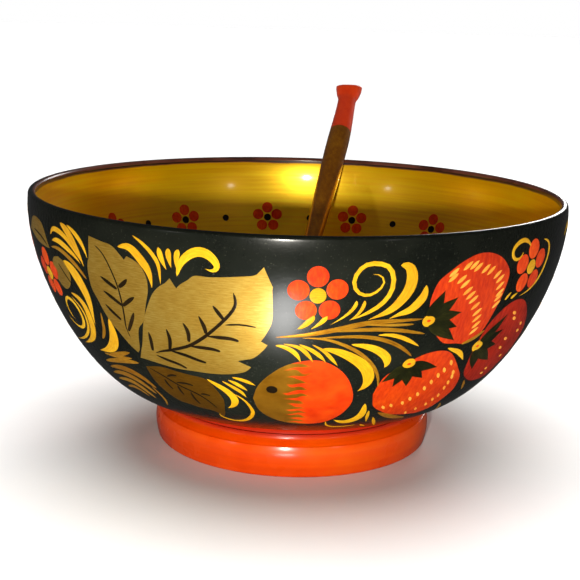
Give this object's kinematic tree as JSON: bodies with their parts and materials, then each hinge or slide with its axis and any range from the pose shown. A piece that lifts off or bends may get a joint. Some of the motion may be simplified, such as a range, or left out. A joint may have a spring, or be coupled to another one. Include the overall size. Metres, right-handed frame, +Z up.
{
  "type": "painted wooden bowl with spoon",
  "caption": "Turned wooden bowl on a round foot, black lacquer with painted leaves and berries outside and gold inside, with a carved wooden spoon leaning in it.",
  "frame": {"origin": "centre of the foot's bottom face, on the surface that the bowl stands on", "axes": "+Z up along the bowl's turning axis; the spoon's handle crosses the rim on the +Y side, a little towards +X"},
  "size_m": [0.2042, 0.236, 0.1307],
  "materials": {
    "bowl_lacquer": "oven-cured gloss lacquer over black ground outside and gold inside, with painted leaves, berries and flowers",
    "foot_lacquer": "gloss vermilion lacquer",
    "spoon_lacquer": "gloss bronze-gold lacquer with a red handle end"
  },
  "bodies": {
    "bowl": {"bowl_body": "bowl_lacquer", "foot": "foot_lacquer"},
    "spoon": {"spoon": "spoon_lacquer"}
  },
  "joints": [
    {"name": "spoon_lift", "type": "slide", "parent": "bowl", "child": "spoon", "axis": [0, 0, 1], "range_m": [0, 0.15]}
  ]
}
